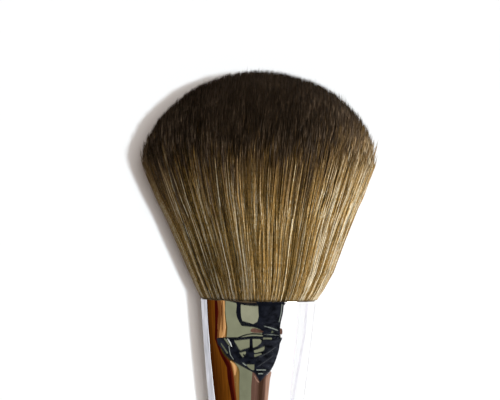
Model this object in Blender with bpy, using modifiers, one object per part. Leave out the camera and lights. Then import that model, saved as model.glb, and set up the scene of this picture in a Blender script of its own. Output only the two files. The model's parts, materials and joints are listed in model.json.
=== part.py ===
"""Powder brush lying on a table: domed bristle head, chromed conical ferrule and turned wooden handle.

Every piece is turned or grown along the brush's own axis, which is local +Z of the empty brush_axis.
Local z = 0 is the ferrule's mouth, the bristles stand above it and the handle runs below it.
The empty lays the brush down along +Y, so that it rests on the widest ring of its bristles and on the
end of its handle. World z = 0 is the table. All sizes are in metres.
"""

from math import asin, atan2, cos, hypot, pi, radians, sin
from random import Random

import bmesh
import bpy
from mathutils import Vector

# Ferrule: a cone drawn from thin tube, a short neck sweep, and a collar crimped on to the handle
MOUTH_RADIUS = 0.0115
CONE_LENGTH = 0.0380
CONE_BOW = 0.00036
NECK_LENGTH = 0.0035
NECK_STEP = 0.0005
COLLAR_RADIUS = 0.0065
COLLAR_LENGTH = 0.0085
FERRULE_WALL = 0.0004
RIM_ROUNDING = 0.00012
CRIMP_COUNT = 2
CRIMP_WIDTH = 0.0014
CRIMP_DEPTH = 0.00035
CRIMP_SPACING = 0.0029

# Clearance between pieces that seat on each other
SEAT_GAP = 0.0003

# Bristle head: tapered filaments that fan out of the mouth, cup inwards and end on a domed crown
CROWN_HEIGHT = 0.0457
SKIRT_HEIGHT = 0.0290
FAN_SLOPE_SHARE = 0.49
CUP_START = 0.0180
CUP_REACH = 0.0110
CUP_DEPTH = 0.0018
DOME_ROUND_SHARE = 2.2
DOME_EDGE_SHARE = 0.7
STRAND_RINGS = 12
RING_SECTORS = 6
STRAND_KNEE_SHARE = 0.72
STRAND_KNEE_WIDTH_SHARE = 0.90
STRAND_TOP_WIDTH_SHARE = 0.86
STRAND_POINT = 0.0042
TIP_SCATTER_SHARE = 0.45
STRAND_SEED = 7
TABLE_FLAT = 0.0005

# Bonded root of the bristles, with the waist that the thread is wound in
WAIST_TOP = 0.0028
WAIST_STEP = 0.0004
ROOT_TAIL = 0.0017

# Thread wound round the knot before it goes into the ferrule
THREAD_DIAMETER = 0.0008
THREAD_GAP = 0.00045
THREAD_TURNS = 4
THREAD_POINTS_PER_TURN = 16

# Resin poured behind the knot
RESIN_LENGTH = 0.0080
RESIN_MENISCUS = 0.0012

# Handle: tenon, shoulder, belly, slim tail and a small flat where the lathe parted it off
HANDLE_LENGTH = 0.1080
TENON_IN_CONE = 0.0085
TENON_CHAMFER = 0.0006
SHOULDER_PROUD = 0.0002
SHOULDER_ROUNDING = 0.0004
BELLY_RADIUS = 0.0076
BELLY_DISTANCE = 0.0300
TAIL_RADIUS = 0.0043
TAIL_FLAT_RADIUS = 0.0018

# Glue that stands round the tenon inside the cone, from this far above the neck
GLUE_START = 0.0015

# Facets
TURN_STEPS = 40
CONE_STEPS = 6
NECK_STEPS = 3
CRIMP_STEPS = 4
HANDLE_STEPS = 14
ROUND_STEPS = 5
RIM_ANGLE = radians(60)
MERGE_DISTANCE = 0.00001
CUT_OVERRUN = 0.0100

# Material slots of the bristle head
PALE, DARK, BONDED = range(3)

# Radii and stations along the axis that follow from these sizes
CONE_END_RADIUS = COLLAR_RADIUS + NECK_STEP
TENON_RADIUS = COLLAR_RADIUS - FERRULE_WALL - SEAT_GAP
ROOT_RADIUS = MOUTH_RADIUS - FERRULE_WALL - SEAT_GAP
NECK_TOP = -CONE_LENGTH
COLLAR_TOP = NECK_TOP - NECK_LENGTH
FERRULE_END = COLLAR_TOP - COLLAR_LENGTH
THREAD_PITCH = THREAD_DIAMETER + THREAD_GAP
WINDING_LENGTH = THREAD_TURNS * THREAD_PITCH + THREAD_DIAMETER
WAIST_LENGTH = WINDING_LENGTH + 2 * SEAT_GAP
ROOT_END = -(WAIST_TOP + 2 * WAIST_STEP + WAIST_LENGTH + ROOT_TAIL)
RESIN_TOP = ROOT_END - SEAT_GAP
RESIN_END = RESIN_TOP - RESIN_LENGTH
SHOULDER = FERRULE_END - SEAT_GAP
TENON_TOP = NECK_TOP + TENON_IN_CONE
HANDLE_END = SHOULDER - HANDLE_LENGTH
TAIL_ROUNDING = TAIL_RADIUS - TAIL_FLAT_RADIUS


def smooth(share):
    """Eases from 0 to 1 with level ends."""
    return share * share * (3 - 2 * share)


def between(start, end, share):
    return start + (end - start) * share


def crimp_centres():
    """Heights of the crimps, centred on the collar."""
    middle = (COLLAR_TOP + FERRULE_END) / 2
    return [middle + CRIMP_SPACING * ((CRIMP_COUNT - 1) / 2 - i) for i in range(CRIMP_COUNT)]


def ferrule_radius(z):
    """Outer radius of the ferrule at a height, crimps included."""
    if z >= NECK_TOP:
        share = -z / CONE_LENGTH
        return between(MOUTH_RADIUS, CONE_END_RADIUS, share) + CONE_BOW * 4 * share * (1 - share)
    if z >= COLLAR_TOP:
        return between(CONE_END_RADIUS, COLLAR_RADIUS, sin(pi / 2 * (NECK_TOP - z) / NECK_LENGTH))
    for centre in crimp_centres():
        if abs(z - centre) < CRIMP_WIDTH / 2:
            return COLLAR_RADIUS - CRIMP_DEPTH * (1 + cos(2 * pi * (z - centre) / CRIMP_WIDTH)) / 2
    return COLLAR_RADIUS


def bore_radius(z):
    """Radius that a piece inside the ferrule may have at a height."""
    return ferrule_radius(z) - FERRULE_WALL - SEAT_GAP


def collar_heights():
    """Heights down the collar: its two ends and enough points to draw each crimp."""
    heights = [COLLAR_TOP]
    for centre in crimp_centres():
        top = centre + CRIMP_WIDTH / 2
        heights += [top - CRIMP_WIDTH * i / CRIMP_STEPS for i in range(CRIMP_STEPS + 1)]
    return heights + [FERRULE_END]


def fan_radius(z):
    """Radius at a height of the outermost filaments, which run out straight and then cup inwards."""
    cupped = max(z - CUP_START, 0) / CUP_REACH
    return ROOT_RADIUS + FAN_SLOPE_SHARE * z - CUP_DEPTH * cupped ** 2


def crown_height(share):
    """Height at which a filament ends, from its share of the way from the axis to the outermost ones."""
    fullness = max(1 - share ** DOME_ROUND_SHARE, 0) ** DOME_EDGE_SHARE
    return between(SKIRT_HEIGHT, CROWN_HEIGHT, fullness)


def crown_outline():
    """Points (radius, height) down the crown, from its top to the skirt."""
    shares = [ring / STRAND_RINGS for ring in range(STRAND_RINGS + 1)]
    return [(share * fan_radius(crown_height(share)), crown_height(share)) for share in shares]


def resting_place():
    """Tilt of the brush on the table, then the height and the place along Y of the mouth's centre."""
    widest, widest_height = max(crown_outline())
    tail_centre = HANDLE_END + TAIL_ROUNDING
    run = widest_height - tail_centre
    rise = widest - TABLE_FLAT - TAIL_FLAT_RADIUS
    tilt = atan2(rise, run) - asin(TAIL_ROUNDING / hypot(rise, run))
    height = (widest - TABLE_FLAT) * cos(tilt) - widest_height * sin(tilt)
    front = max(z * cos(tilt) + r * sin(tilt) for r, z in crown_outline())
    back = tail_centre * cos(tilt) - TAIL_FLAT_RADIUS * sin(tilt) - TAIL_ROUNDING
    return tilt, height, -(front + back) / 2


WINDING_RADIUS = bore_radius(ROOT_END) - THREAD_DIAMETER / 2
WAIST_RADIUS = WINDING_RADIUS - THREAD_DIAMETER / 2 - SEAT_GAP


def material(name, colour, roughness, metallic):
    """A Principled BSDF of one plain colour."""
    made = bpy.data.materials.new(name)
    made.use_nodes = True
    shader = made.node_tree.nodes["Principled BSDF"]
    shader.inputs["Base Color"].default_value = (*colour, 1)
    shader.inputs["Roughness"].default_value = roughness
    shader.inputs["Metallic"].default_value = metallic
    made.diffuse_color = (*colour, 1)
    return made


def placed(name, data, collection, parent):
    """An object of this mesh or curve, in its collection and hung from the brush's axis."""
    made = bpy.data.objects.new(name, data)
    collection.objects.link(made)
    made.parent = parent
    return made


def turned(name, outline, finish, collection, parent):
    """An outline of (radius, height) points, top to bottom, turned round the axis by a Screw modifier."""
    mesh = bpy.data.meshes.new(name)
    points = [(radius, 0, height) for radius, height in outline]
    edges = [(i, i + 1) for i in range(len(points) - 1)]
    mesh.from_pydata(points, edges, [])
    mesh.materials.append(finish)
    made = placed(name, mesh, collection, parent)
    screw = made.modifiers.new("turn", "SCREW")
    screw.axis = "Z"
    screw.angle = 2 * pi
    screw.steps = TURN_STEPS
    screw.render_steps = TURN_STEPS
    screw.use_merge_vertices = True
    screw.merge_threshold = MERGE_DISTANCE
    screw.use_smooth_shade = True
    return made


def ferrule(collection, parent):
    """The plated tube: its outer side is turned, then given its wall and rounded rims."""
    cone = [-CONE_LENGTH * i / CONE_STEPS for i in range(CONE_STEPS)]
    neck = [NECK_TOP - NECK_LENGTH * i / NECK_STEPS for i in range(NECK_STEPS)]
    heights = cone + neck + collar_heights()
    chrome = material("chrome_plate", (0.80, 0.80, 0.82), 0.04, 1.0)
    tube = turned("ferrule", [(ferrule_radius(z), z) for z in heights], chrome, collection, parent)
    wall = tube.modifiers.new("wall", "SOLIDIFY")
    wall.thickness = FERRULE_WALL
    wall.offset = -1
    wall.use_even_offset = True
    rims = tube.modifiers.new("rims", "BEVEL")
    rims.limit_method = "ANGLE"
    rims.angle_limit = RIM_ANGLE
    rims.width = RIM_ROUNDING
    rims.segments = 1
    return tube


def lattice_disc(mesh):
    """The root's top, a disc of packed triangles.

    Returns the triangles that point inwards, one for each strand, and the edges of the disc's rim.
    """
    rings = [[mesh.verts.new((0, 0, 0))]]
    for ring in range(1, STRAND_RINGS + 1):
        reach = ROOT_RADIUS * ring / STRAND_RINGS
        count = RING_SECTORS * ring
        turns = [2 * pi * i / count for i in range(count)]
        rings.append([mesh.verts.new((reach * cos(turn), reach * sin(turn), 0)) for turn in turns])
    footprints = []
    for ring in range(1, STRAND_RINGS + 1):
        outer, inner = rings[ring], rings[ring - 1]
        for sector in range(RING_SECTORS):
            for i in range(ring):
                first = outer[sector * ring + i]
                second = outer[(sector * ring + i + 1) % len(outer)]
                apex = inner[(sector * (ring - 1) + i) % len(inner)]
                footprints.append(mesh.faces.new((apex, first, second)))
                if i + 1 < ring:
                    beyond = inner[(sector * (ring - 1) + i + 1) % len(inner)]
                    mesh.faces.new((apex, second, beyond))
    return footprints, [edge for edge in mesh.edges if edge.is_boundary]


def grow_strand(mesh, face, tip_share):
    """Grows one tapered strand from its footprint, pale to its knee and dyed dark from there to its tip.

    The tip lies on the crown, at this share of the way from the axis to the outermost filaments.
    """
    place = face.calc_center_median().xy
    corners = [corner.co.xy - place for corner in face.verts]
    top = crown_height(tip_share)
    neck = top - STRAND_POINT
    stages = (
        (neck * STRAND_KNEE_SHARE, STRAND_KNEE_WIDTH_SHARE, PALE),
        (neck, STRAND_TOP_WIDTH_SHARE, DARK),
    )
    for height, width_share, finish in stages:
        face = bmesh.ops.extrude_discrete_faces(mesh, faces=[face])["faces"][0]
        spread = fan_radius(height) / ROOT_RADIUS
        for corner, offset in zip(face.verts, corners):
            flat = (place + offset * width_share) * spread
            corner.co = (flat.x, flat.y, height)
        for side in {side for edge in face.edges for side in edge.link_faces}:
            side.material_index = finish
    tip = bmesh.ops.poke(mesh, faces=[face])["verts"][0]
    flat = place.normalized() * tip_share * fan_radius(top)
    tip.co = (flat.x, flat.y, top)


def bonded_root(mesh, rim):
    """Closes the disc below with the resin-bonded root, which is waisted for the thread."""
    floor_top = WAIST_TOP + WAIST_STEP
    floor_end = floor_top + WAIST_LENGTH
    steps = [
        (WAIST_TOP, bore_radius(-WAIST_TOP)),
        (floor_top, WAIST_RADIUS),
        (floor_end, WAIST_RADIUS),
        (floor_end + WAIST_STEP, bore_radius(-floor_end - WAIST_STEP)),
        (-ROOT_END, bore_radius(ROOT_END)),
    ]
    for depth, radius in steps:
        grown = bmesh.ops.extrude_edge_only(mesh, edges=rim)["geom"]
        rim = [item for item in grown if isinstance(item, bmesh.types.BMEdge)]
        for side in [item for item in grown if isinstance(item, bmesh.types.BMFace)]:
            side.material_index = BONDED
        for corner in {corner for edge in rim for corner in edge.verts}:
            flat = corner.co.xy.normalized() * radius
            corner.co = (flat.x, flat.y, -depth)
    for face in bmesh.ops.edgeloop_fill(mesh, edges=rim)["faces"]:
        face.material_index = BONDED


def table_cutter(collection):
    """A block under the table, which presses the bristles flat where they rest."""
    reach = 2 * (max(crown_outline())[0] + CUT_OVERRUN)
    length = CROWN_HEIGHT + 2 * CUT_OVERRUN
    along = resting_place()[2] + CROWN_HEIGHT / 2
    bpy.ops.mesh.primitive_cube_add(size=1, location=(0, along, -CUT_OVERRUN / 2))
    block = bpy.context.object
    block.name = "table_cutter"
    block.scale = (reach, length, CUT_OVERRUN)
    bpy.ops.object.transform_apply(location=False, rotation=False, scale=True)
    block.users_collection[0].objects.unlink(block)
    collection.objects.link(block)
    block.hide_render = True
    block.display_type = "WIRE"
    return block


def bristle_head(collection, parent, cutter):
    """Packed filaments, drawn as tapered strands, and the bonded root that holds them in the ferrule."""
    mesh = bmesh.new()
    footprints, rim = lattice_disc(mesh)
    outermost = max(face.calc_center_median().length for face in footprints)
    scatter = Random(STRAND_SEED)
    for face in footprints:
        share = face.calc_center_median().length / outermost
        share += scatter.uniform(-TIP_SCATTER_SHARE, TIP_SCATTER_SHARE) / STRAND_RINGS
        grow_strand(mesh, face, min(max(share, 0), 1))
    bonded_root(mesh, rim)
    bmesh.ops.recalc_face_normals(mesh, faces=mesh.faces)
    data = bpy.data.meshes.new("bristle_head")
    mesh.to_mesh(data)
    mesh.free()
    data.materials.append(material("filament_gold", (0.30, 0.19, 0.09), 0.45, 0.0))
    data.materials.append(material("filament_dark", (0.035, 0.022, 0.015), 0.45, 0.0))
    data.materials.append(material("bonded_filament", (0.34, 0.24, 0.13), 0.3, 0.0))
    made = placed("bristle_head", data, collection, parent)
    flat = made.modifiers.new("flat_on_the_table", "BOOLEAN")
    flat.object = cutter
    flat.operation = "DIFFERENCE"
    flat.solver = "EXACT"
    print("strands:", len(footprints))
    return made


def knot_binding(collection, parent):
    """One unbroken thread, wound as a helix in the root's waist."""
    count = THREAD_TURNS * THREAD_POINTS_PER_TURN + 1
    top = -(WAIST_TOP + WAIST_STEP + SEAT_GAP + THREAD_DIAMETER / 2)
    points = []
    for i in range(count):
        turn = i / THREAD_POINTS_PER_TURN
        angle = 2 * pi * turn
        across = Vector((cos(angle), sin(angle), 0)) * WINDING_RADIUS
        points.append(across + Vector((0, 0, top - THREAD_PITCH * turn)))
    curve = bpy.data.curves.new("knot_binding", "CURVE")
    curve.dimensions = "3D"
    curve.bevel_depth = THREAD_DIAMETER / 2
    curve.bevel_resolution = 1
    curve.use_fill_caps = True
    spline = curve.splines.new("POLY")
    spline.points.add(count - 1)
    for point, place in zip(spline.points, points):
        point.co = (*place, 1)
    curve.materials.append(material("binding_thread", (0.72, 0.66, 0.52), 0.8, 0.0))
    half_turn = THREAD_POINTS_PER_TURN // 2
    apart = [(a - b).length for i, a in enumerate(points) for b in points[i + half_turn:]]
    print("least gap between turns of thread, in metres:", round(min(apart) - THREAD_DIAMETER, 6))
    return placed("knot_binding", curve, collection, parent)


def knot_resin(collection, parent):
    """The plug of resin behind the knot, dished below where it crept up the wall."""
    rim = bore_radius(RESIN_END)
    outline = [(0, RESIN_TOP), (bore_radius(RESIN_TOP), RESIN_TOP), (rim, RESIN_END)]
    for i in range(1, ROUND_STEPS + 1):
        share = i / ROUND_STEPS
        outline.append((rim * (1 - share), RESIN_END + RESIN_MENISCUS * sin(pi / 2 * share)))
    amber = material("cured_resin", (0.55, 0.38, 0.16), 0.25, 0.0)
    return turned("knot_resin", outline, amber, collection, parent)


def tenon_radius(z):
    """Radius of the tenon, which is grooved where the ferrule is crimped into it."""
    return min(TENON_RADIUS, bore_radius(z))


def handle_radius(z):
    """Radius of the grip between its shoulder and the start of the rounded tail."""
    depth = SHOULDER - z
    if depth < BELLY_DISTANCE:
        return between(COLLAR_RADIUS + SHOULDER_PROUD, BELLY_RADIUS, sin(pi / 2 * depth / BELLY_DISTANCE))
    slimming = (depth - BELLY_DISTANCE) / (HANDLE_LENGTH - TAIL_ROUNDING - BELLY_DISTANCE)
    return between(BELLY_RADIUS, TAIL_RADIUS, smooth(slimming))


def handle(collection, parent):
    """The lacquered wooden handle, turned in one piece with its tenon."""
    outline = [(0, TENON_TOP), (TENON_RADIUS - TENON_CHAMFER, TENON_TOP)]
    outline.append((TENON_RADIUS, TENON_TOP - TENON_CHAMFER))
    outline += [(tenon_radius(z), z) for z in collar_heights()[1:-1]]
    outline.append((TENON_RADIUS, SHOULDER))
    outline.append((COLLAR_RADIUS + SHOULDER_PROUD - SHOULDER_ROUNDING, SHOULDER))
    first = SHOULDER - SHOULDER_ROUNDING
    last = HANDLE_END + TAIL_ROUNDING
    heights = [between(first, last, i / HANDLE_STEPS) for i in range(HANDLE_STEPS + 1)]
    outline += [(handle_radius(z), z) for z in heights]
    for i in range(1, ROUND_STEPS + 1):
        angle = pi / 2 * i / ROUND_STEPS
        outline.append((TAIL_FLAT_RADIUS + TAIL_ROUNDING * cos(angle), last - TAIL_ROUNDING * sin(angle)))
    outline.append((0, HANDLE_END))
    lacquer = material("black_lacquer", (0.012, 0.012, 0.013), 0.12, 0.0)
    return turned("handle", outline, lacquer, collection, parent)


def tenon_glue(collection, parent):
    """Ring of glue wedged between the tenon and the cone's wall."""
    inner = TENON_RADIUS + SEAT_GAP
    end = NECK_TOP + GLUE_START
    outline = [(inner, TENON_TOP), (bore_radius(TENON_TOP), TENON_TOP), (bore_radius(end), end)]
    outline += [(inner, end), (inner, TENON_TOP)]
    amber = material("handle_glue", (0.62, 0.50, 0.28), 0.3, 0.0)
    return turned("tenon_glue", outline, amber, collection, parent)


def build():
    for leftover in list(bpy.data.objects):
        bpy.data.objects.remove(leftover)
    brush = bpy.data.collections.new("powder_brush")
    cutters = bpy.data.collections.new("cutters")
    bpy.context.scene.collection.children.link(brush)
    bpy.context.scene.collection.children.link(cutters)
    axis = bpy.data.objects.new("brush_axis", None)
    brush.objects.link(axis)
    tilt, height, along = resting_place()
    axis.location = (0, along, height)
    axis.rotation_euler = (tilt - pi / 2, 0, 0)
    cutter = table_cutter(cutters)
    bristle_head(brush, axis, cutter)
    knot_binding(brush, axis)
    knot_resin(brush, axis)
    ferrule(brush, axis)
    tenon_glue(brush, axis)
    handle(brush, axis)
    bpy.context.view_layer.update()
    butt = axis.matrix_world @ Vector((0, 0, HANDLE_END))
    away = axis.matrix_world.to_3x3() @ Vector((0, 0, -1))
    print("butt at", [round(c, 6) for c in butt], "facing", [round(c, 6) for c in away])


build()
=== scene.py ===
"""Looks of the powder brush: its filaments, chrome, lacquer and the studio round it.

Local coordinates are those of the source: z runs along the brush's own axis, 0 at the ferrule's mouth and
up towards the bristle tips, and angle 0 round the axis faces the camera. World z = 0 is the table. All
sizes are in metres unless a name says otherwise.
"""

import json
from math import asin, cos, pi, radians, sin, sqrt
from types import SimpleNamespace

import bpy
import numpy as np
from mathutils import Matrix, Vector
from mathutils.kdtree import KDTree


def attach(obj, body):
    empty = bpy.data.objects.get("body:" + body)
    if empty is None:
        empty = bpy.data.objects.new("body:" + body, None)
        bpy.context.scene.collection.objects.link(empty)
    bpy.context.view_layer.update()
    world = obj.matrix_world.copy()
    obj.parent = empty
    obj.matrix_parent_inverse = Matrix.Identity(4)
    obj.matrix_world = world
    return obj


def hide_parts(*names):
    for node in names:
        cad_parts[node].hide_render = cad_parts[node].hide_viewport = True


# Sizes that the source gives
MOUTH_RADIUS = 0.0115
CONE_LENGTH = 0.0380
CONE_BOW = 0.00036
NECK_LENGTH = 0.0035
NECK_STEP = 0.0005
COLLAR_RADIUS = 0.0065
COLLAR_LENGTH = 0.0085
FERRULE_WALL = 0.0004
RIM_ROUNDING = 0.00012
CRIMP_COUNT = 2
CRIMP_WIDTH = 0.0014
CRIMP_DEPTH = 0.00035
CRIMP_SPACING = 0.0029
SEAT_GAP = 0.0003
CROWN_HEIGHT = 0.0457
SKIRT_HEIGHT = 0.0290
CUP_START = 0.0180
CUP_REACH = 0.0110
WAIST_TOP = 0.0028
WAIST_STEP = 0.0004
ROOT_TAIL = 0.0017
THREAD_DIAMETER = 0.0008
THREAD_GAP = 0.00045
THREAD_TURNS = 4
HANDLE_LENGTH = 0.1080
TENON_IN_CONE = 0.0085
TENON_CHAMFER = 0.0006
SHOULDER_PROUD = 0.0002
SHOULDER_ROUNDING = 0.0004
BELLY_RADIUS = 0.0076
BELLY_DISTANCE = 0.0300
TAIL_RADIUS = 0.0043
TAIL_FLAT_RADIUS = 0.0018

CONE_END_RADIUS = COLLAR_RADIUS + NECK_STEP
TENON_RADIUS = COLLAR_RADIUS - FERRULE_WALL - SEAT_GAP
ROOT_RADIUS = MOUTH_RADIUS - FERRULE_WALL - SEAT_GAP
WAIST_LENGTH = THREAD_TURNS * (THREAD_DIAMETER + THREAD_GAP) + THREAD_DIAMETER + 2 * SEAT_GAP
NECK_TOP = -CONE_LENGTH
COLLAR_TOP = NECK_TOP - NECK_LENGTH
FERRULE_END = COLLAR_TOP - COLLAR_LENGTH
SHOULDER = FERRULE_END - SEAT_GAP
TENON_TOP = NECK_TOP + TENON_IN_CONE
HANDLE_END = SHOULDER - HANDLE_LENGTH
TAIL_ROUNDING = TAIL_RADIUS - TAIL_FLAT_RADIUS

# Turned pieces: how finely they are turned and drawn. The heights just below the mouth's rim keep the
# shading of its rounding off the cone, and the bonded root starts a little below the mouth
TURN_STEPS = 144
MOUTH_HEIGHTS = (-0.00013, -0.00016, -0.00022, -0.00035, -0.0006)
RIM_STEPS = 4
CONE_STEPS = 40
NECK_STEPS = 10
CRIMP_STEPS = 12
TENON_CRIMP_STEPS = 8
SHOULDER_STEPS = 6
GRIP_STEPS = 60
TAIL_STEPS = 12
ROOT_DROP = 0.0006

# Filaments, and the rings of each: shares of its height, and widths
STRAND_COUNT = 32000
STRAND_PIECES = 8
CLUMP_COUNT = 2600
TUFT_COUNT = 11000
STRAND_SEED = 463
STRAND_SIDES = 3
STRAND_RADIUS = 0.000082
STRAND_GIRTHS = (0.78, 1.25)
STRAND_RINGS = (
    (-0.04, 0.62),
    (0.0008, 0.70),
    (0.006, 0.74),
    (0.07, 0.80),
    (0.20, 0.92),
    (0.45, 1.05),
    (0.72, 1.14),
    (0.94, 0.90),
)
TABLE_CLEARANCE = 0.00004

# Flanks of the head, after the photo
FAN_SLOPE = 0.470
CUP_DEPTH = 0.0015
MOUTH_FILL = 0.00072
MOUTH_FILL_REACH = 0.0001
FLANK_FULLNESS = 0.00040
FLANK_REACH = 0.0140
HEAD_LEAN = -0.00120
HEAD_LEAN_REACH = 0.0210
HEAD_LEAN_RETURN = 0.00110
LEFT_SQUEEZE = 0.035
LEFT_SQUEEZE_REACH = 0.0045
LEFT_HOLLOW = 0.032
LEFT_HOLLOW_REACH = 0.0280

# Roots and tips, as shares of the head's radius: how unevenly they lie, how far a tuft's filaments draw
# together, how far their tips are scattered, and how many of these stray further and how far
ROOT_JITTER = 1.3
GROUP_JITTER = 0.6
TUFT_DRAW = 0.75
CLUMP_TIP_SCATTER = 0.006
TUFT_TIP_SCATTER = 0.010
STRAND_TIP_SCATTER = 0.007
WILD_SHARE = 0.20
WILD_REACH = 0.030
TIP_LIMIT = 1.005

# Bends: how late a filament leaves its root's line for its tip's, and how far and how often it waves
BEND_POWER = 1.5
STRAND_WAVE = 0.00011
TUFT_WAVE = 0.00020
HALF_WAVES = 1.7

# Dome, after the photo: its form, and how far short of it filaments end, more so at its edge
DOME_ROUND_SHARE = 2.25
DOME_EDGE_SHARE = 0.72
DOME_UNEVENNESS = 0.00040
EDGE_UNEVENNESS = 0.0010
EDGE_UNEVENNESS_POWER = 8
STRAND_SHORTNESS = 0.6
TUFT_SHORTNESS = 1.2

# How much higher than the dome the tips end, at places across the head from left to right
TIP_LIFTS = (
    (-0.90, -0.00044),
    (-0.76, -0.00028),
    (-0.60, 0.00006),
    (-0.45, 0.00007),
    (0.00, 0.00018),
    (0.20, -0.00002),
)

# Tips that stand out of the dome: the share of tufts that do, by place across the head, how far tufts and
# single filaments stand out, and how much further tufts do by place across the head
PROUD_TUFT_SHARES = ((0.35, 0.030), (0.65, 0.100))
PROUD_TUFTS = (0.00012, 0.00050)
PROUD_TUFT_GAINS = ((0.1, 1.0), (0.6, 1.7))
PROUD_STRAND_SHARE = 0.030
PROUD_STRANDS = (0.00010, 0.00050)

# Strays that lean out of a flank: its side, how far out their roots start, the share of them that stray, how
# far they do at least and at most, and how far from the middle plane their roots lie at most
RIGHT_STRAYS = (1, 0.90, 0.07, 0.004, 0.045)
LEFT_STRAYS = (-1, 0.93, 0.06, 0.005, 0.035)
STRAY_DEPTH = 0.40

# Columns of the filaments' map: one for each pair of a tone and a dye line. The sides of a filament lie this
# share of a column apart
TONE_LEVELS = 16
TONE_MIDDLE = 0.46
DYE_LEVELS = 16
MAP_COLUMNS = TONE_LEVELS * DYE_LEVELS
MAP_SIDE_STEP = 0.22
MAP_ENDS = (0.001, 0.999)

# How much tones and dye lines differ between clumps, between filaments and between tufts
TONE_SPREADS = (0.090, 0.20, 0.05)
TONE_LIMIT = 0.40
DYE_SPREADS = (0.04, 0.10, 0.055)
LATE_DYE_SHARE = 0.07
LATE_DYES = (0.05, 0.30)

# What filaments deep in the head add to their tones, by distance from the middle plane, and what those in
# front of its middle add, by place towards the camera. The outermost ones add neither. Both are painted
# light: the first lightens the flanks that turn away from the lamps overhead, and the second is painted
# shade on the top that faces them
DEEP_PAINTED_LIGHT = ((0.45, 0.28), (0.72, 0.0))
FRONT_PAINTED_SHADE = ((0.68, 0.0), (0.85, -0.11), (0.96, -0.14))
FRONT_MIDDLE = -0.08
FRONT_REACH = 0.75
FRONT_BLEND = 0.45
OUTERMOST = 0.97
OUTERMOST_BLEND = 0.03

# Across the head from left to right: the place, what it adds to the filaments' tones and how much more they
# differ there, then the middle of their dye lines and how much more these differ. The added tones and dye
# lines are partly painted light: lighter tones and higher dye lines towards the right, where the side lamp
# falls, a painted rim light on the far left edge, and painted shade on the left flank
TONES_AND_PAINTED_LIGHT_ACROSS_HEAD = (
    (-1.00, 0.27, 0.60, 0.56, 1.0),
    (-0.960, 0.24, 0.60, 0.54, 1.0),
    (-0.925, -0.06, 1.20, 0.30, 1.3),
    (-0.77, -0.12, 1.60, 0.30, 1.7),
    (-0.56, -0.12, 2.00, 0.46, 1.9),
    (-0.40, 0.09, 1.50, 0.45, 1.5),
    (-0.27, 0.03, 1.15, 0.47, 1.2),
    (0.00, -0.01, 0.72, 0.575, 0.70),
    (0.25, -0.04, 0.66, 0.47, 0.85),
    (0.48, -0.03, 1.00, 0.575, 1.1),
    (0.69, 0.04, 1.10, 0.74, 1.3),
    (0.85, 0.15, 1.10, 0.83, 1.5),
    (1.00, 0.28, 1.00, 0.92, 1.6),
)

# Finish of the filaments. Dye lines are heights above the mouth, and brown and dark come in over these parts
# of the softness. The foot is shaded, and tones differ less with the height and vary along each filament
DYE_LOW = 0.0137
DYE_HIGH = 0.0337
DYE_SOFTNESS = 0.0165
BROWNING = (-0.60, 0.20)
DARKENING = (-0.05, 0.36)
SHADE_HEIGHTS = (0.00012, 0.00045)
SHADE_LOW = 0.40
NOISE_LOW = 0.3
NOISE_HIGH = 0.7
CONTRASTS = (1.12, 0.86)
CONTRAST_REACH = 0.55
COLUMN_SPACING = 3.7
STREAK_TONE = 0.15
GRAIN_TONE = 0.24

# Colours of the filaments by tone: undyed, between the dyes and dark
FILAMENT_STOPS = (
    (0.00, (0.020, 0.012, 0.003)),
    (0.20, (0.078, 0.047, 0.011)),
    (0.42, (0.180, 0.102, 0.027)),
    (0.58, (0.216, 0.154, 0.068)),
    (0.74, (0.270, 0.220, 0.140)),
    (0.88, (0.345, 0.300, 0.216)),
    (1.00, (0.390, 0.345, 0.262)),
)
BROWN_STOPS = ((0.0, (0.015, 0.008, 0.002)), (0.5, (0.078, 0.042, 0.011)), (1.0, (0.190, 0.118, 0.048)))
DYED_STOPS = (
    (0.00, (0.006, 0.0038, 0.0018)),
    (0.35, (0.021, 0.0132, 0.0074)),
    (0.60, (0.040, 0.0265, 0.0158)),
    (0.80, (0.075, 0.0510, 0.0330)),
    (1.00, (0.134, 0.0965, 0.0640)),
)

# Colours of the other finishes, and the share that dust nibs have in the lacquer's waves
NIB_SHARE = 0.02
CHROME = (0.94, 0.94, 0.955)
GRIME = (0.66, 0.63, 0.59)
LACQUER_STOPS = ((0.25, (0.008, 0.008, 0.009)), (0.80, (0.022, 0.020, 0.019)))
THREAD_STOPS = ((0.3, (0.60, 0.52, 0.38)), (0.7, (0.78, 0.72, 0.58)))
RESIN = ((0.42, 0.25, 0.08), (0.62, 0.46, 0.22))
GLUE = ((0.52, 0.40, 0.20), (0.70, 0.60, 0.38))
BONDED = ((0.22, 0.13, 0.05), (0.42, 0.30, 0.15))

# Photograph's frame
IMAGE_WIDTH_PX = 500
IMAGE_HEIGHT_PX = 400
PX_PER_M = 5040
MOUTH_PX = (258.7, 299.4)
AXIS_ROLL = radians(1.35)
CAMERA_DISTANCE = 0.450
CAMERA_LEAN = radians(-0.7)

# Studio. Each soft box has a name, its direction and distance from the head, its width and strength, whether
# reflections show it, and its colour
AMBIENT = 0.110
AMBIENT_COLOUR = (1.0, 0.64, 0.44)
BACKDROP_GLOW = 1.08
FLOOR_REACH = 1.6
FLOOR_COLOUR = (0.93, 0.93, 0.93)
LIT_HEIGHT = 0.015
LIGHTS = (
    ("key", (0.163, -0.140, 1.0), 3.0, 0.09, 6.50, False, (0.849, 0.941, 1.0)),
    ("fill", (0.078, -0.080, 1.0), 3.0, 0.50, 4.60, False, (1.0, 0.964, 0.929)),
    ("side", (1.0, -0.12, 0.34), 2.5, 1.10, 30.5, True, (1.0, 0.965, 0.89)),
    ("sheen", (-0.05, -0.10, 1.0), 2.5, 0.60, 1.1, True, (1, 1, 1)),
)

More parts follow.
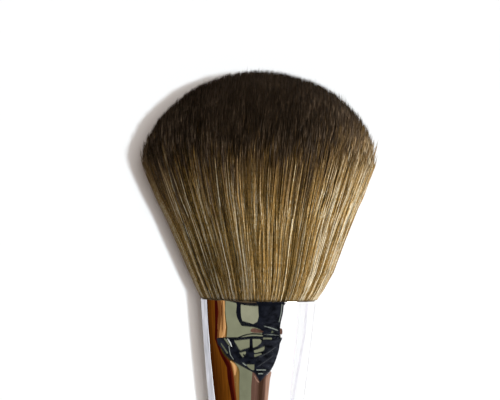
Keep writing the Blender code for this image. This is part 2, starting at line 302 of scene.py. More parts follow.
# Cards that only reflections see: how far off they stand, how much nearer each layer does, how high over the
# floor they stay, and how much lower than its rows say an image lies from a millimetre below the mouth on
CARD_REACH = 0.40
CARD_LAYER_SHARE = 0.04
CARD_FLOOR = 0.0006
CARD_DROP = 0.00018
CARD_ROWS_BETWEEN = 6
CARD_COLUMNS = 18
CARD_GLOW = 0.94
SLOPE_STEP = 0.0001
MM_PER_M = 1000

# Grains: how often the noise repeats across the ferrule's half width and along a millimetre, its turn, and
# the least and most brightness
CARD_GRAINS = {
    "plain": ((6.0, 0.5), 0.0, 0.93, 1.07),
    "streaked": ((38.0, 0.16), 0.0, 0.72, 1.28),
    "creased": ((7.0, 1.1), 0.5, 0.25, 2.4),
}

# Colours of the cards
OLIVE = (0.255, 0.263, 0.168)
OLIVE_BRIGHT = (0.335, 0.335, 0.228)
OLIVE_DIM = (0.210, 0.218, 0.138)
MOSS = (0.125, 0.140, 0.085)
BLACK = (0.006, 0.007, 0.011)
CHARCOAL = (0.019, 0.021, 0.027)
INK = (0.010, 0.011, 0.015)
GLINT = (0.350, 0.390, 0.340)
GLINT_BRIGHT = (0.820, 0.850, 0.800)
CREASE = (0.070, 0.074, 0.078)
HAIR = (0.090, 0.062, 0.034)
BROWN = (0.175, 0.055, 0.005)
BROWN_DEEP = (0.036, 0.0080, 0.0010)
UMBER = (0.052, 0.030, 0.006)
RUST = (0.040, 0.003, 0.0020)
RUST_PALE = (0.170, 0.026, 0.006)
AMBER = (0.480, 0.240, 0.080)
AMBER_BRIGHT = (0.820, 0.450, 0.190)
AMBER_DIM = (0.190, 0.074, 0.0200)
AMBER_LOW = (0.300, 0.160, 0.044)
AMBER_OLIVE = (0.100, 0.062, 0.014)
MAUVE = (0.154, 0.080, 0.057)
MAUVE_PALE = (0.520, 0.310, 0.220)
MAUVE_DEEP = (0.066, 0.031, 0.018)
LILAC = (0.985, 0.970, 1.010)
SHADE = (0.600, 0.600, 0.640)
PALE = (0.990, 0.990, 1.000)

# Each card has a name, its layer, its colours from left to right, its rows, and its grain where it isn't
# plain. The rows say where on the ferrule its image is wanted: millimetres below the mouth, then its left
# and right ends in percent of the ferrule's half width there
CARDS = (
    ("olive", 0, (OLIVE,), (
        (-0.05, -59, 43), (0, -59, 43), (4.3, -58, 38), (5.9, -59, 38.5), (6.5, -59, 40), (7.2, -59, 41))),
    ("olive_patch", 1, (OLIVE_BRIGHT,), ((0.25, -34, 1), (1.9, -34, 2), (3.4, -30, 0), (4.2, -25, -5))),
    ("olive_low", 0, (OLIVE_DIM, OLIVE_DIM, OLIVE), (
        (7.1, -70, 25), (8.6, -71, 25), (9.9, -62, 25), (11.5, -52, 25), (13.9, -45, 5), (19.6, -42, 0),
        (36, -40, 0))),
    ("table", 0, (BROWN_DEEP, BROWN), (
        (-0.05, -89, -73), (0, -89, -73), (4.6, -89, -74), (7.5, -88, -73), (8.7, -88, -71), (9.9, -88, -66),
        (11.5, -88, -60), (13.5, -87, -54), (17, -86, -50), (19.7, -85, -46), (36, -80, -40)), "streaked"),
    ("rust", 1, (RUST, RUST, RUST_PALE), (
        (-0.05, -75, -66), (0, -75, -66), (4.6, -76, -69), (7.4, -78, -70), (9, -73.5, -65),
        (10.7, -68, -58), (12, -62, -49), (12.9, -58, -47), (14.4, -57.3, -44), (16.1, -54.5, -43),
        (19.3, -51, -40), (36, -45, -34)), "streaked"),
    ("amber_dim", 1, (AMBER_DIM,), (
        (-0.05, -71, -56.5), (0, -71, -56.7), (2.1, -69, -58), (3.6, -71, -57), (4.7, -72, -55.8),
        (6, -72.5, -56.5), (7.3, -74, -57.2)), "streaked"),
    ("amber", 2, (AMBER,), (
        (-0.05, -64.5, -57.5), (0, -64.5, -57.8), (1.5, -63, -59.5), (3.2, -65, -58.5), (4.7, -67, -57.5),
        (6, -69, -58), (7.3, -70, -59)), "streaked"),
    ("amber_slit", 3, (RUST,), (
        (0, -62.5, -61.5), (2.5, -64, -62.2), (5.5, -64.5, -63.2), (7.3, -64, -63.5))),
    ("amber_bright", 3, (AMBER, AMBER_BRIGHT), (
        (0, -60.5, -58.3), (1.5, -60, -58.2), (3.2, -60.5, -57.8), (4.7, -62, -57), (6.6, -65, -60),
        (7.3, -67, -64)), "streaked"),
    ("amber_line", 4, (AMBER_OLIVE,), (
        (0.3, -57, -56.6), (2.1, -58.5, -57.2), (3.6, -57.4, -55.6), (4.7, -56.2, -54.5), (6, -57, -55.2),
        (7.2, -57.8, -56.2))),
    ("umber", 2, (UMBER,), (
        (9.4, -69, -62), (10.7, -61.7, -55), (11.5, -54, -48), (12.1, -51, -43)), "streaked"),
    ("amber_low", 2, (AMBER_DIM, AMBER_LOW, AMBER_LOW, AMBER_OLIVE), (
        (11.6, -53, -47), (12.2, -50.5, -41.7), (13, -48.3, -35.5), (13.7, -46.7, -33.5), (14.9, -44.8, -34),
        (16, -44, -34.5), (19.2, -41, -34.5), (36, -36, -30)), "streaked"),
    ("amber_blob", 3, (AMBER, AMBER_BRIGHT, AMBER), (
        (11.7, -52, -50), (12.2, -49, -43), (12.8, -47, -38.5), (13.4, -45.5, -38.5),
        (14.2, -44, -41.5)), "streaked"),
    ("mauve", 1, (MAUVE, MAUVE, MAUVE, MAUVE_DEEP, MAUVE_DEEP, MAUVE), (
        (13.7, -9, 19), (14.3, -9.5, 18), (15.9, -11, 15.5), (19.1, -11.3, 15.3),
        (36, -11, 15)), "streaked"),
    ("mauve_lip", 3, (MAUVE_PALE,), ((14.4, -6.2, -5.2), (15.05, -1.4, 0.2), (15.4, 2.2, 5))),
    ("mauve_pale", 2, (MAUVE, MAUVE_PALE, MAUVE_PALE), (
        (13.7, 24.7, 26.6), (14, 22, 27), (14.4, 17.2, 26.2), (15, 15.5, 25), (16, 15.5, 24.5),
        (19.1, 15, 23.2), (36, 14.5, 22)), "streaked"),
    ("rim_hair", 1, (HAIR,), ((-0.1, -97, 42), (0, -97, 42), (0.08, -97, 42)), "streaked"),
    ("dark_rim", 2, (BLACK,), (
        (0.06, -58, 45), (0.2, -56, 45), (0.28, -50, 45), (0.34, -40, 44), (0.42, -31, 44))),
    ("dark_top", 2, (BLACK, INK, INK), (
        (-0.05, -30, 44), (0, -5, 43), (0.16, -1.4, 42.5), (1.84, 0.3, 41.6), (3.3, -2.1, 39),
        (4, -8.8, 38.5), (4.5, -12, 38.3), (4.9, -4, 38.3), (5.24, 2, 38.5), (5.81, 9.6, 39), (6.13, 6, 39),
        (6.5, 9, 39.5)), "creased"),
    ("dark_strap", 2, (BLACK,), (
        (0.2, -38.5, -30), (0.67, -37.5, -30.7), (1.83, -38.9, -30.7), (2.6, -37.6, -30), (3.32, -34.5, -28),
        (3.6, -33.2, -19.8), (4.02, -31.3, -8.8), (4.4, -29.4, 0), (4.62, -22.5, 10), (4.8, -8.7, 10),
        (4.95, -3, 10))),
    ("pink", 1, (MAUVE, MAUVE, MAUVE_DEEP), (
        (5.05, -10, -5), (5.3, -12.5, 2), (5.65, -14.1, 9), (5.85, -13.5, 11), (6.1, -11.3, 7),
        (6.2, -8, 4)), "streaked"),
    ("pink_edge", 3, (MAUVE,), (
        (4.7, 38.4, 39), (4.85, 38.3, 41.9), (5.5, 38.5, 43), (6.08, 39, 42.6), (6.24, 39.5, 40))),
    ("dark_hem", 2, (BLACK,), (
        (6.32, -10, 2), (6.45, -22, 39), (6.6, -28.5, 39), (6.88, -35.2, 39.5), (7.16, -58, 41),
        (7.36, -74.5, 42))),
    ("dark_fold", 2, (INK, BLACK, BLACK, INK, CHARCOAL), (
        (6.96, -40, 43), (7.2, -60, 43), (7.4, -74.5, 42.5), (8.55, -72.9, 39.5), (9.54, -65.5, 38.8),
        (10.66, -57.5, 35.8), (11.43, -50, 33.8), (12.08, -41.7, 31.8), (12.51, -33.9, 30.4),
        (13.53, -14.5, 25.5), (13.93, -6.6, 22.2), (14.24, -3, 18.5), (15.3, 5.4, 6.2)), "creased"),
    ("fold_wedge", 3, (OLIVE,), ((6.62, -15, 6), (6.82, -26, 8.5), (6.98, -31, 8.5))),
    ("fold_stripe", 3, (OLIVE_DIM, OLIVE), ((7.27, 9, 24.5), (7.62, 8.5, 24.7))),
    ("fold_a", 3, (OLIVE,), (
        (7.55, -30, -15), (7.77, -43.1, -15), (8.1, -41.5, -15), (8.9, -36.8, -15), (9.27, -34.5, -26),
        (9.53, -32.4, -31))),
    ("fold_b", 3, (OLIVE,), (
        (7.6, -10, 3), (7.88, -9.7, 6.5), (8.29, -9.5, 5.5), (8.77, -9, -0.9), (8.97, -9, -7))),
    ("fold_c", 3, (OLIVE,), (
        (8.92, 9, 12.2), (9.2, 2, 12), (9.45, -7, 11.3), (9.6, -7, 8), (9.9, -6.1, -3))),
    ("fold_d", 3, (OLIVE_DIM,), ((9.98, 5, 7.1), (10.2, -6.6, 7.1), (10.4, -6.5, 2), (10.66, -6, -4))),
    ("fold_e", 3, (OLIVE,), (
        (9.72, -23.5, -21.5), (10.1, -33.6, -21.5), (10.4, -31, -24), (10.85, -27.5, -26.5))),
    ("fold_e_dot", 4, (BLACK,), ((10.2, -26.2, -25), (10.4, -27.2, -24), (10.6, -26.2, -25))),
    ("fold_f", 3, (OLIVE_DIM,), (
        (12.35, -20, -5.7), (12.6, -20, -5.7), (13, -16.5, -5.8), (13.46, -10, -6.1))),
    ("fold_g", 3, (MOSS, OLIVE_DIM), (
        (7.41, -61.4, -60), (7.7, -61, -56), (8.5, -56, -52), (8.99, -52.1, -50)), "streaked"),
    ("fold_h", 3, (MOSS,), ((5.45, 24, 25), (5.78, 23.5, 27.7), (6.05, 22.5, 24))),
    ("fold_i", 3, (MOSS,), ((8.3, -69, -67.5), (9.2, -64, -61), (10.2, -57, -54)), "streaked"),
    ("crease_a", 3, (CREASE,), ((9.1, 32, 34.5), (9.9, 17, 20), (10.7, 2, 4))),
    ("crease_b", 3, (CREASE,), ((10.5, 28, 29.5), (11.6, 14, 16), (12.7, 1, 3))),
    ("glint_a", 4, (GLINT_BRIGHT,), ((7.49, -55.6, -54.3), (8.2, -52, -49.5), (9.08, -48.3, -46.8))),
    ("glint_b", 4, (GLINT,), ((4.36, 8.5, 10.5), (4.7, 17, 23), (5, 25.5, 31), (5.3, 33, 36))),
    ("glint_c", 3, (GLINT,), ((13.36, -2, 17), (13.52, -1, 16))),
    ("glint_d", 3, (GLINT,), ((12.02, -28.8, -27.2), (12.46, -24.5, -21), (12.6, -22, -19))),
    ("glint_e", 3, (CREASE, GLINT, CREASE), ((6.47, 10, 39), (6.58, 10, 39))),
    ("glint_f", 3, (CREASE, GLINT, CREASE), ((0.3, 38.3, 40.2), (1.8, 37.5, 39.6), (3.4, 35, 36.6))),
    ("glint_g", 3, (GLINT,), ((14.02, 2, 11.5), (14.16, 2, 11))),
    ("glint_h", 3, (GLINT,), (
        (9, -53.2, -52.2), (9.8, -52.2, -51.2), (10.5, -50.7, -49.6), (11.4, -45.2, -44.3))),
    ("sheet_fold", 1, (LILAC,), ((0.3, 80, 84), (6.5, 81, 85), (19.4, 71, 76), (36, 66, 71))),
    ("sheet_edge", 1, (PALE,), ((0.3, 95.5, 99), (10, 95.5, 99), (19.4, 95.5, 99), (36, 95.5, 99))),
    ("table_shade", 0, (SHADE,), (
        (-0.05, -99.5, -89.5), (0, -99.5, -89.5), (10, -99.5, -89), (20, -99.5, -86.5),
        (36, -99.5, -81)), "streaked"),
)


def smooth(share):
    """Eases from 0 to 1 with level ends."""
    return share * share * (3 - 2 * share)


def between(start, end, share):
    return start + (end - start) * share


def graded(places, table):
    """Values at these places, from a table of (place, value) rows."""
    return np.interp(places, *zip(*table))


def quarter_turns(steps):
    return [pi / 2 * i / steps for i in range(steps + 1)]


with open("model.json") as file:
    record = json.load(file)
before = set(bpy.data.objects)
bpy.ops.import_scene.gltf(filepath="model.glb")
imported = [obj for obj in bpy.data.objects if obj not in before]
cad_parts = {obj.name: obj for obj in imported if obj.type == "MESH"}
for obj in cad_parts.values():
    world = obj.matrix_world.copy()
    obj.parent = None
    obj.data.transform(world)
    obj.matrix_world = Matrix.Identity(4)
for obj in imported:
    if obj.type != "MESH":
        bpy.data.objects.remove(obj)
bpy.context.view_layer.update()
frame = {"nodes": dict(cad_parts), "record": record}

butt = frame["record"]["mounts"][0]
ALONG = -Vector(butt["axis"]).normalized()
MOUTH = Vector(butt["pos_m"]) - ALONG * HANDLE_END
ACROSS = Vector((1, 0, 0))
UPWARD = ACROSS.cross(ALONG)
AXES = np.array([ACROSS, UPWARD, ALONG])


def in_world(points):
    """World places of an array of local (across, up, along) points."""
    return np.asarray(points) @ AXES + np.array(MOUTH)


# Ferrule and handle, as functions of the height along the axis

def crimp_centres():
    middle = (COLLAR_TOP + FERRULE_END) / 2
    return [middle + CRIMP_SPACING * ((CRIMP_COUNT - 1) / 2 - i) for i in range(CRIMP_COUNT)]


def crimp_heights(steps):
    """Heights across every crimp, from the top down."""
    return [centre + CRIMP_WIDTH * (0.5 - i / steps) for centre in crimp_centres() for i in range(steps + 1)]


def ferrule_radius(z):
    """Outer radius of the ferrule at a height, crimps included."""
    if z >= NECK_TOP:
        share = -z / CONE_LENGTH
        return between(MOUTH_RADIUS, CONE_END_RADIUS, share) + CONE_BOW * 4 * share * (1 - share)
    if z >= COLLAR_TOP:
        return between(CONE_END_RADIUS, COLLAR_RADIUS, sin(pi / 2 * (NECK_TOP - z) / NECK_LENGTH))
    for centre in crimp_centres():
        if abs(z - centre) < CRIMP_WIDTH / 2:
            return COLLAR_RADIUS - CRIMP_DEPTH * (1 + cos(2 * pi * (z - centre) / CRIMP_WIDTH)) / 2
    return COLLAR_RADIUS


def bore_radius(z):
    return ferrule_radius(z) - FERRULE_WALL - SEAT_GAP


def handle_radius(z):
    """Radius of the grip between its shoulder and the start of the rounded tail."""
    depth = SHOULDER - z
    if depth < BELLY_DISTANCE:
        return between(COLLAR_RADIUS + SHOULDER_PROUD, BELLY_RADIUS, sin(pi / 2 * depth / BELLY_DISTANCE))
    slimming = (depth - BELLY_DISTANCE) / (HANDLE_LENGTH - TAIL_ROUNDING - BELLY_DISTANCE)
    return between(BELLY_RADIUS, TAIL_RADIUS, smooth(slimming))


# Form of the head

def fan_radius(z):
    """Radius of the outermost filaments at an array of heights."""
    cupped = np.maximum(z - CUP_START, 0) / CUP_REACH
    risen = np.maximum(z, 0)
    fill = MOUTH_FILL * (1 - np.exp(-risen / MOUTH_FILL_REACH))
    fullness = FLANK_FULLNESS * np.sin(pi * np.clip(risen / FLANK_REACH, 0, 1))
    return ROOT_RADIUS + FAN_SLOPE * risen - CUP_DEPTH * cupped ** 2 + fill + fullness


def crown_height(share):
    """Heights at which filaments end, from their shares of the way from the axis to the outermost ones."""
    fullness = np.maximum(1 - np.minimum(share, 1) ** DOME_ROUND_SHARE, 0) ** DOME_EDGE_SHARE
    return between(SKIRT_HEIGHT, CROWN_HEIGHT, fullness)


# Materials

class Nodes:
    """The node tree of a new material or world, written one node a line."""

    def __init__(self, name, owners=bpy.data.materials):
        self.owner = owners.new(name)
        self.owner.use_nodes = True
        self.tree = self.owner.node_tree
        self.output = next(node for node in self.tree.nodes if "Output" in node.bl_idname)
        self.shader = self.output.inputs["Surface"].links[0].from_node

    def feed(self, node, key, value):
        """Links a socket, or sets it, by its number or its name."""
        if isinstance(value, bpy.types.NodeSocket):
            self.tree.links.new(value, node.inputs[key])
        else:
            node.inputs[key].default_value = value

    def new(self, kind, *values, settings=(), **named_values):
        """A node with these settings, its sockets fed in their order or by their names."""
        node = self.tree.nodes.new("ShaderNode" + kind)
        for key, value in dict(settings).items():
            setattr(node, key, value)
        for i, value in enumerate(values):
            self.feed(node, i, value)
        for key, value in named_values.items():
            self.feed(node, key, value)
        return node

    def math(self, operation, first, second=0.0):
        return self.new("Math", first, second, settings={"operation": operation}).outputs[0]

    def span(self, value, low, high, to_low=0.0, to_high=1.0, kind="LINEAR"):
        """Maps a value between low and high to one between to_low and to_high."""
        node = self.new("MapRange", value, low, high, to_low, to_high, settings={"interpolation_type": kind})
        return node.outputs[0]

    def noise(self, vector, scale, detail=2.0, roughness=0.5):
        node = self.new("TexNoise", Vector=vector, Scale=scale, Detail=detail, Roughness=roughness)
        return node.outputs["Fac"]

    def ramp(self, value, stops):
        node = self.new("ValToRGB", value)
        elements = node.color_ramp.elements
        while len(elements) < len(stops):
            elements.new(0.5)
        for element, (place, colour) in zip(elements, stops):
            element.position = place
            element.color = (*colour, 1)
        return node.outputs["Color"]

    def mix(self, share, first, second):
        """Mixes two colours, which are sockets 6 and 7 of this node."""
        node = self.new("Mix", share, settings={"data_type": "RGBA"})
        for i, value in ((6, first), (7, second)):
            self.feed(node, i, value if isinstance(value, bpy.types.NodeSocket) else (*value, 1))
        return node.outputs[2]

    def bump(self, height, distance, strength):
        node = self.new("Bump", Strength=strength, Distance=distance, Height=height)
        self.feed(self.shader, "Normal", node.outputs["Normal"])

    def surface(self, **values):
        for key, value in values.items():
            self.feed(self.shader, key.replace("_", " "), value)

    def place(self):
        """The point that is shaded, in the object's own coordinates."""
        return self.new("TexCoord").outputs["Object"]

    def along(self):
        """Height along the brush's axis of the point that is shaded."""
        dot = self.new("VectorMath", self.place(), ALONG, settings={"operation": "DOT_PRODUCT"})
        return self.math("SUBTRACT", dot.outputs["Value"], MOUTH.dot(ALONG))

    def only(self, shader):
        """Makes this node the whole surface, in place of the shader that is there."""
        self.tree.nodes.remove(self.shader)
        self.tree.links.new(shader.outputs[0], self.output.inputs["Surface"])


def filament_material():
    """Two-tone filaments: the map's columns give each one its own tone and its own dye line, which carry
    painted light and shade.
    """
    nodes = Nodes("filaments")
    where = nodes.new("SeparateXYZ", nodes.new("UVMap", settings={"uv_map": "strand"}).outputs["UV"])
    rise = where.outputs["Y"]
    height = nodes.math("MULTIPLY", rise, CROWN_HEIGHT)
    column = nodes.math("FLOOR", nodes.math("MULTIPLY", where.outputs["X"], float(MAP_COLUMNS)))
    path = nodes.new("CombineXYZ", X=nodes.math("MULTIPLY", column, COLUMN_SPACING), Y=rise).outputs[0]
    streak = nodes.noise(path, scale=12.0, detail=3.0, roughness=0.6)
    grain = nodes.noise(path, scale=75.0, detail=2.0, roughness=0.6)

    tone_step = nodes.math("FLOOR", nodes.math("DIVIDE", column, float(DYE_LEVELS)))
    tone_off = nodes.math("SUBTRACT", nodes.math("DIVIDE", tone_step, float(TONE_LEVELS - 1)), TONE_MIDDLE)
    contrast = nodes.span(rise, 0.0, CONTRAST_REACH, *CONTRASTS)
    tone = nodes.math("ADD", nodes.math("MULTIPLY", tone_off, contrast), TONE_MIDDLE)
    speckle = nodes.span(grain, NOISE_LOW, NOISE_HIGH, -GRAIN_TONE, GRAIN_TONE)
    wander = nodes.span(streak, NOISE_LOW, NOISE_HIGH, -STREAK_TONE, STREAK_TONE)
    speckled = nodes.math("ADD", tone, speckle)
    streaked = nodes.math("ADD", speckled, wander)

    dye_step = nodes.math("MODULO", column, float(DYE_LEVELS))
    line = nodes.span(nodes.math("DIVIDE", dye_step, float(DYE_LEVELS - 1)), 0.0, 1.0, DYE_LOW, DYE_HIGH)
    past = nodes.math("DIVIDE", nodes.math("SUBTRACT", height, line), DYE_SOFTNESS)
    brown_share = nodes.span(past, *BROWNING, kind="SMOOTHSTEP")
    dark_share = nodes.span(past, *DARKENING, kind="SMOOTHSTEP")
    browned = nodes.mix(brown_share, nodes.ramp(streaked, FILAMENT_STOPS), nodes.ramp(speckled, BROWN_STOPS))
    dyed = nodes.mix(dark_share, browned, nodes.ramp(speckled, DYED_STOPS))
    shade = nodes.span(height, *SHADE_HEIGHTS, SHADE_LOW, 1.0)
    shaded = nodes.new("VectorMath", dyed, settings={"operation": "SCALE"}, Scale=shade)
    nodes.surface(
        Base_Color=shaded.outputs[0],
        Roughness=nodes.span(streak, 0.25, 0.75, to_low=0.42, to_high=0.56),
        Specular_IOR_Level=nodes.span(past, 0.0, DARKENING[1], to_low=0.09, to_high=0.08),
    )
    nodes.bump(streak, distance=0.00001, strength=0.3)
    return nodes.owner


def chrome_material():
    """Mirror chrome with faint waves, wiping marks and a little grime in its crimps."""
    nodes = Nodes("chrome")
    place = nodes.place()
    waves = nodes.noise(place, scale=90.0, detail=1.0, roughness=0.4)
    smear = nodes.noise(place, scale=420.0, detail=4.0, roughness=0.6)
    gathered = nodes.span(nodes.along(), FERRULE_END, COLLAR_TOP, to_low=0.35, to_high=0.0)
    grime = nodes.math("MULTIPLY", nodes.span(smear, 0.45, 0.75), gathered)
    nodes.surface(
        Base_Color=nodes.mix(grime, CHROME, GRIME),
        Metallic=1.0,
        Roughness=nodes.span(smear, 0.3, 0.8, to_low=0.006, to_high=0.030),
    )
    nodes.bump(waves, distance=0.00012, strength=0.35)
    return nodes.owner


def lacquer_material():
    """Gloss black lacquer with faint brush-out waves, dust nibs and patchy duller smears."""
    nodes = Nodes("lacquer")
    place = nodes.place()
    waves = nodes.noise(place, scale=60.0, detail=2.0, roughness=0.5)
    smear = nodes.noise(place, scale=240.0, detail=5.0, roughness=0.6)
    nibs = nodes.noise(place, scale=2600.0, detail=2.0, roughness=0.5)
    nodes.surface(
        Base_Color=nodes.ramp(smear, LACQUER_STOPS),
        Roughness=nodes.span(smear, 0.3, 0.8, to_low=0.06, to_high=0.20),
        Specular_IOR_Level=0.4,
        Coat_Weight=0.15,
        Coat_Roughness=0.05,
    )
    height = nodes.math("ADD", waves, nodes.math("MULTIPLY", nibs, NIB_SHARE))
    nodes.bump(height, distance=0.00010, strength=0.3)
    return nodes.owner


def thread_material():
    """Waxed two-ply thread: fine twisted ridges and uneven wax."""
    nodes = Nodes("thread")
    place = nodes.place()
    wave = nodes.new("TexWave", place, settings={"bands_direction": "DIAGONAL"}, Scale=900.0, Distortion=1.5)
    wax = nodes.noise(place, scale=500.0, detail=3.0)
    nodes.surface(
        Base_Color=nodes.ramp(wax, THREAD_STOPS),
        Roughness=nodes.span(wax, 0.2, 0.8, to_low=0.55, to_high=0.8),
    )
    nodes.bump(wave.outputs["Fac"], distance=0.0001, strength=0.6)
    return nodes.owner


def cured_material(name, deep, pale, roughness):
    """Poured resin or glue: cloudy amber with small bubbles."""
    nodes = Nodes(name)
    place = nodes.place()
    cloud = nodes.noise(place, scale=350.0, detail=3.0)
    bubbles = nodes.new("TexVoronoi", place, Scale=1400.0)
    nodes.surface(
        Base_Color=nodes.mix(nodes.span(cloud, NOISE_LOW, NOISE_HIGH), deep, pale),
        Roughness=nodes.span(cloud, 0.2, 0.8, to_low=roughness, to_high=roughness + 0.15),
    )
    nodes.bump(nodes.span(bubbles.outputs["Distance"], 0.0, 0.3), distance=0.00004, strength=0.4)
    return nodes.owner


# Pieces

def placed(name, data):
    """A new object in the scene."""
    made = bpy.data.objects.new(name, data)
    bpy.context.scene.collection.objects.link(made)
    return made


def dressed(name, mesh, material, slot_name, *replaced):
    """An object of this mesh that rides on the brush and stands for these CAD nodes."""
    made = placed(name, mesh)
    mesh.materials.append(material)
    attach(made, "root")
    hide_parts(*replaced)
    return made


def mesh_from(name, points, faces, smooth_faces=True):
    mesh = bpy.data.meshes.new(name)
    mesh.from_pydata([tuple(p) for p in points], [], [tuple(int(i) for i in f) for f in faces])
    mesh.polygons.foreach_set("use_smooth", [smooth_faces] * len(mesh.polygons))
    mesh.update()
    return mesh


def turned_mesh(name, outline, closed=False):
    """An outline of (radius, height) points turned round the axis. A closed one joins end and start."""
    turns = np.arange(TURN_STEPS) * 2 * pi / TURN_STEPS
    ring = np.stack([np.sin(turns), np.cos(turns)], axis=1)
    points, rings = [], []
    for radius, z in outline:
        if radius == 0:
            rings.append([len(points)] * TURN_STEPS)
            points.append((0, 0, z))
        else:
            rings.append(range(len(points), len(points) + TURN_STEPS))
            points += [(radius * x, radius * y, z) for x, y in ring]
    faces = []
    for upper, lower in zip(rings, rings[1:] + ([rings[0]] if closed else [])):
        for i in range(TURN_STEPS):
            j = (i + 1) % TURN_STEPS
            corners = (upper[i], upper[j], lower[j], lower[i])
            face = [c for k, c in enumerate(corners) if c != corners[k - 1]]
            if len(face) > 2:
                faces.append(face)
    return mesh_from(name, in_world(points), faces)


def rim(outer, inner, z, way):
    """Round a rim of the tube, from its outer to its inner radius, upwards or downwards from this height."""
    turns = quarter_turns(RIM_STEPS)[1:]
    out = [(outer - RIM_ROUNDING * (1 - cos(a)), z + way * RIM_ROUNDING * sin(a)) for a in turns]
    back = [(inner + RIM_ROUNDING * (1 - sin(a)), z + way * RIM_ROUNDING * cos(a)) for a in turns[:-1]]
    return out + back


def ferrule_outline():
    """Down the outside of the tube, round its lower rim, up the inside and round its mouth."""
    heights = [-RIM_ROUNDING, *MOUTH_HEIGHTS]
    heights += [between(0, NECK_TOP, i / CONE_STEPS) for i in range(1, CONE_STEPS)]
    heights += [between(NECK_TOP, COLLAR_TOP, i / NECK_STEPS) for i in range(NECK_STEPS)]
    heights += [COLLAR_TOP, *crimp_heights(CRIMP_STEPS), FERRULE_END + RIM_ROUNDING]
    outer = [(ferrule_radius(z), z) for z in heights]
    inner = [(radius - FERRULE_WALL, z) for radius, z in reversed(outer)]
    low_rim = rim(outer[-1][0], inner[0][0], heights[-1], -1)
    top_rim = rim(outer[0][0], inner[-1][0], heights[0], 1)
    return outer + low_rim + inner + top_rim[::-1]


def handle_outline():
    """Down the tenon with its crimps, round the shoulder, along the grip and round the tail to its flat."""
    outline = [(0, TENON_TOP), (TENON_RADIUS - TENON_CHAMFER, TENON_TOP)]
    outline.append((TENON_RADIUS, TENON_TOP - TENON_CHAMFER))
    outline += [(min(TENON_RADIUS, bore_radius(z)), z) for z in crimp_heights(TENON_CRIMP_STEPS)]
    outline.append((TENON_RADIUS, SHOULDER))
    corner = COLLAR_RADIUS + SHOULDER_PROUD - SHOULDER_ROUNDING
    start = SHOULDER - SHOULDER_ROUNDING
    for a in quarter_turns(SHOULDER_STEPS):
        outline.append((corner + SHOULDER_ROUNDING * sin(a), start + SHOULDER_ROUNDING * cos(a)))
    tail = HANDLE_END + TAIL_ROUNDING
    heights = [between(start, tail, i / GRIP_STEPS) for i in range(1, GRIP_STEPS + 1)]
    outline += [(handle_radius(z), z) for z in heights]
    for a in quarter_turns(TAIL_STEPS)[1:]:
        outline.append((TAIL_FLAT_RADIUS + TAIL_ROUNDING * cos(a), tail - TAIL_ROUNDING * sin(a)))
    outline.append((0, HANDLE_END))
    return outline


def root_outline():
    """The bonded root of the filaments inside the ferrule, waisted for the thread."""
    floor_top = -WAIST_TOP - WAIST_STEP
    floor_end = floor_top - WAIST_LENGTH
    tail = floor_end - WAIST_STEP
    end = tail - ROOT_TAIL
    waist = bore_radius(end) - THREAD_DIAMETER - SEAT_GAP
    head = [(bore_radius(z), z) for z in (-ROOT_DROP, -WAIST_TOP)]
    foot = [(bore_radius(z), z) for z in (tail, end)]
    return [(0, -ROOT_DROP), *head, (waist, floor_top), (waist, floor_end), *foot, (0, end)]


# Filaments

def sunflower(count, rng, jitter):
    """Evenly spread places in the unit disc, each moved a little."""
    i = np.arange(count) + 0.5
    angle = i * pi * (3 - sqrt(5))
    reach = np.sqrt(i / count)
    places = np.stack([reach * np.sin(angle), reach * np.cos(angle)], axis=1)
    return places + rng.normal(0, jitter / sqrt(count), places.shape)


def nearest_of(centres, places):
    """Number of the nearest centre to every place."""
    tree = KDTree(len(centres))
    for i, (x, y) in enumerate(centres):
        tree.insert((x, y, 0), i)
    tree.balance()
    return np.array([tree.find((x, y, 0))[1] for x, y in places])


def held_in(places, limit):
    """These places, with those beyond the limit moved back to it."""
    reach = np.linalg.norm(places, axis=1)
    return places * (np.minimum(reach, limit) / reach)[:, None]


def strand_tips(rng, roots, clump, tuft, tufts):
    """Where the filaments end across the head: tufts draw together, and some filaments go their own way."""
    drawn = rng.uniform(0.0, TUFT_DRAW, TUFT_COUNT)[tuft][:, None]
    tips = roots + (tufts[tuft] - roots) * drawn
    tips += rng.normal(0, CLUMP_TIP_SCATTER, (CLUMP_COUNT, 2))[clump]
    tips += rng.normal(0, TUFT_TIP_SCATTER, (TUFT_COUNT, 2))[tuft]
    tips += rng.normal(0, STRAND_TIP_SCATTER, (STRAND_COUNT, 2))
    wild = rng.random(STRAND_COUNT) < WILD_SHARE
    tips += WILD_REACH * wild[:, None] * rng.normal(0, 1, (STRAND_COUNT, 2))
    return held_in(tips, TIP_LIMIT)


def strand_heights(rng, tips, tuft):
    """How high the filaments end: on the dome or a little short of it."""
    share = np.minimum(np.linalg.norm(tips, axis=1), 1)
    unevenness = DOME_UNEVENNESS + EDGE_UNEVENNESS * share ** EDGE_UNEVENNESS_POWER
    short = np.abs(rng.normal(0, STRAND_SHORTNESS, STRAND_COUNT))
    short += np.abs(rng.normal(0, TUFT_SHORTNESS, TUFT_COUNT))[tuft]
    return crown_height(share) + graded(tips[:, 0], TIP_LIFTS) - short * unevenness


def strays(rng, roots, side, start, share, least, most):
    """How far across the head the tips of a few filaments stray out of a flank, and 0 for the others."""
    on_flank = (side * roots[:, 0] > start) & (np.abs(roots[:, 1]) < STRAY_DEPTH)
    chosen = on_flank & (rng.random(STRAND_COUNT) < share)
    return side * chosen * rng.uniform(least, most, STRAND_COUNT)


def scattered(rng, clump, tuft, spreads):
    """A value for every filament that differs from clump to clump, filament to filament and tuft to tuft."""
    of_clumps, of_strands, of_tufts = spreads
    values = of_clumps * rng.normal(0, 1, CLUMP_COUNT)[clump] + of_strands * rng.normal(0, 1, STRAND_COUNT)
    return values + of_tufts * rng.normal(0, 1, TUFT_COUNT)[tuft]


